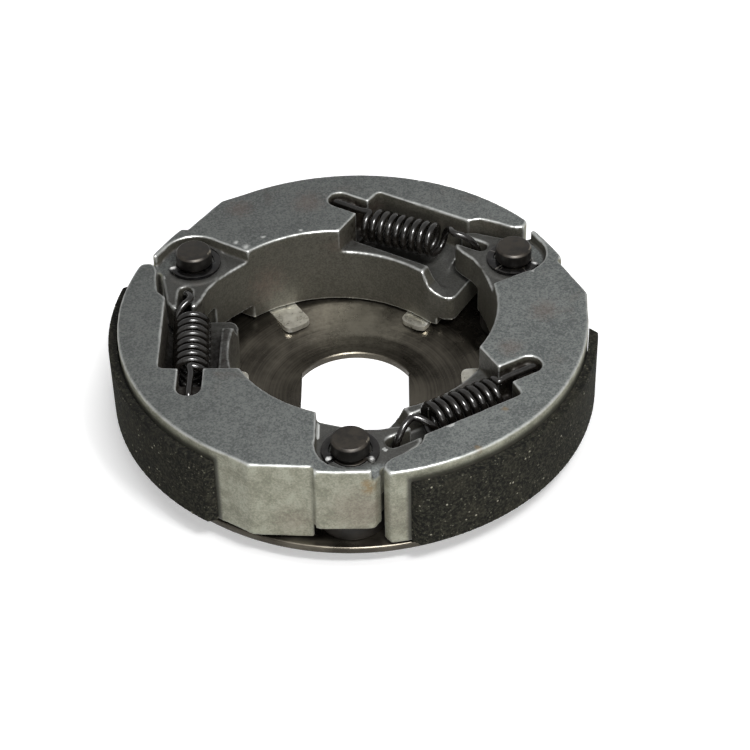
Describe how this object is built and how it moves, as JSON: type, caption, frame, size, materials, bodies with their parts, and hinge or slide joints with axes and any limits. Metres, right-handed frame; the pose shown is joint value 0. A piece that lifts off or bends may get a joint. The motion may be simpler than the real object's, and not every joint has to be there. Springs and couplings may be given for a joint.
{
  "type": "centrifugal clutch",
  "caption": "Centrifugal clutch with hinged weights that swing out on pins against extension springs, bonded friction linings and a dished backplate with a flatted bore.",
  "frame": {"origin": "centre of the backplate's flatted bore, on the underside of the dished centre", "axes": "+Z along the clutch axis, from the backplate up to the open side of the shoes; the first pivot pin lies on -Y"},
  "size_m": [0.1062, 0.1045, 0.027],
  "materials": {
    "cast_aluminium": "as cast, satin, handled",
    "friction_lining": "matt moulded friction compound with light fibres",
    "plate_steel": "pressed steel, dull, bright at the rim",
    "pin_steel": "hardened steel, brown, satin",
    "clip_steel": "blackened spring steel, glossy",
    "spring_steel": "oiled black spring wire",
    "spacer_steel": "dark steel, dull",
    "damper_rubber": "matt black rubber"
  },
  "bodies": {
    "hub_plate": {"backplate": "plate_steel", "pivot_pin_1": "pin_steel", "pivot_pin_2": "pin_steel", "pivot_pin_3": "pin_steel", "pivot_spacer_1": "spacer_steel", "pivot_spacer_2": "spacer_steel", "pivot_spacer_3": "spacer_steel", "retaining_clip_1": "clip_steel", "retaining_clip_2": "clip_steel", "retaining_clip_3": "clip_steel", "damper_post_1": "pin_steel", "damper_post_2": "pin_steel", "damper_post_3": "pin_steel", "damper_rubber_1": "damper_rubber", "damper_rubber_2": "damper_rubber", "damper_rubber_3": "damper_rubber"},
    "weight_1": {"shoe_1": "cast_aluminium", "lining_1": "friction_lining", "return_spring_1": "spring_steel"},
    "weight_2": {"shoe_2": "cast_aluminium", "lining_2": "friction_lining", "return_spring_2": "spring_steel"},
    "weight_3": {"shoe_3": "cast_aluminium", "lining_3": "friction_lining", "return_spring_3": "spring_steel"}
  },
  "joints": [
    {"name": "weight_1_swing", "type": "hinge", "parent": "hub_plate", "child": "weight_1", "pos_m": [0, -0.0414, 0], "axis": [0, 0, 1], "range_deg": [0, 3], "stiffness_Nm_per_rad": 21.7, "springref_deg": -6.47, "deforming": ["return_spring_1"]},
    {"name": "weight_2_swing", "type": "hinge", "parent": "hub_plate", "child": "weight_2", "pos_m": [0.03585, 0.0207, 0], "axis": [0, 0, 1], "range_deg": [0, 3], "stiffness_Nm_per_rad": 21.7, "springref_deg": -6.47, "deforming": ["return_spring_2"]},
    {"name": "weight_3_swing", "type": "hinge", "parent": "hub_plate", "child": "weight_3", "pos_m": [-0.03585, 0.0207, 0], "axis": [0, 0, 1], "range_deg": [0, 3], "stiffness_Nm_per_rad": 21.7, "springref_deg": -6.47, "deforming": ["return_spring_3"]}
  ]
}
